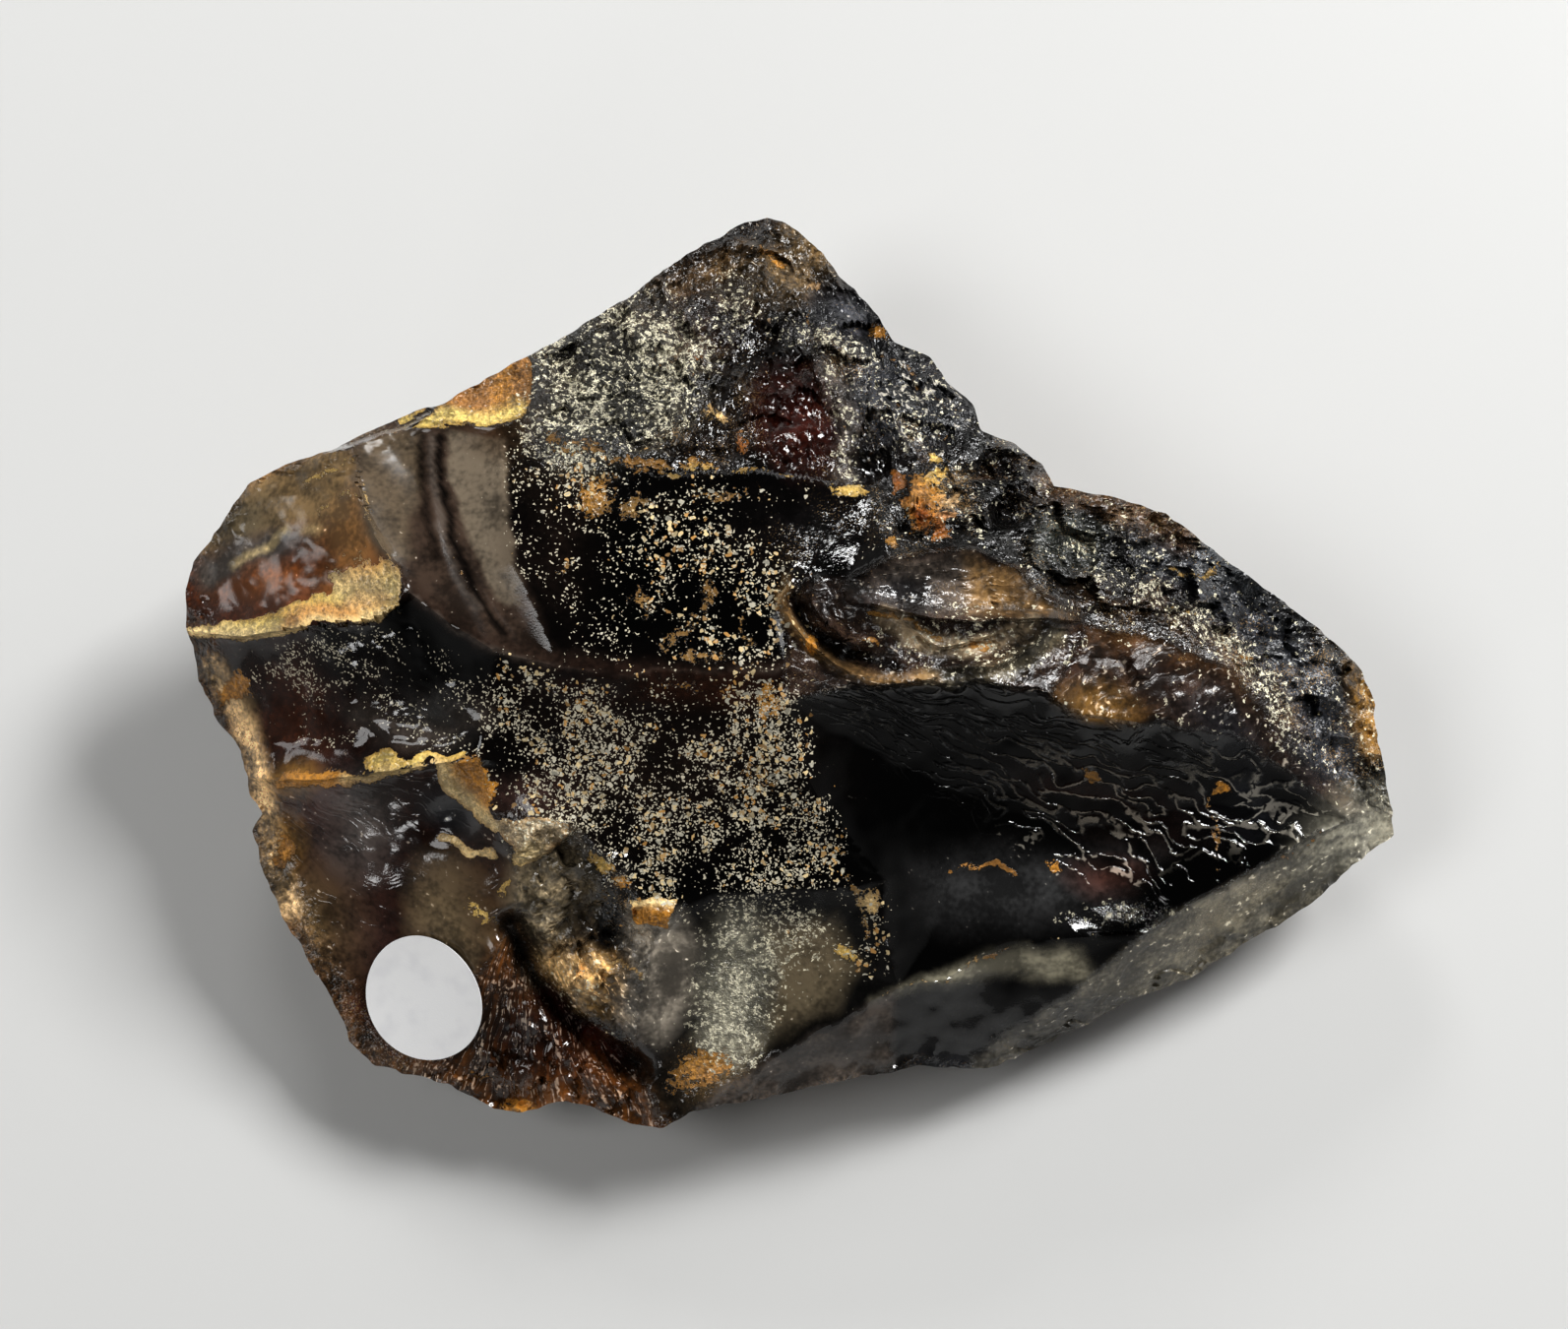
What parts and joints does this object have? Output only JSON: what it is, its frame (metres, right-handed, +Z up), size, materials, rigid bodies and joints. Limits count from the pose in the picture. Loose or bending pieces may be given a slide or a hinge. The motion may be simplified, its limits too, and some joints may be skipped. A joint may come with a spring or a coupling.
{
  "type": "raw blue amber",
  "caption": "Raw lump of amber with glossy conchoidal flake scars, rough crust, a flat fracture to rest on, and a small round blank paper sticker.",
  "frame": {"origin": "under the middle of the whole lump, on the surface that it rests on", "axes": "+X to the pointed right end along the length, +Y to the back, +Z up through the thickness"},
  "size_m": [0.1244, 0.0936, 0.0382],
  "materials": {
    "amber": "dark red-brown fossil resin, glossy on the flake scars, see-through only where it is thin, tan and orange crust in places",
    "sticker": "matt white paper, slightly creased"
  },
  "bodies": {
    "root": {"amber": "amber", "sticker": "sticker"}
  },
  "joints": []
}
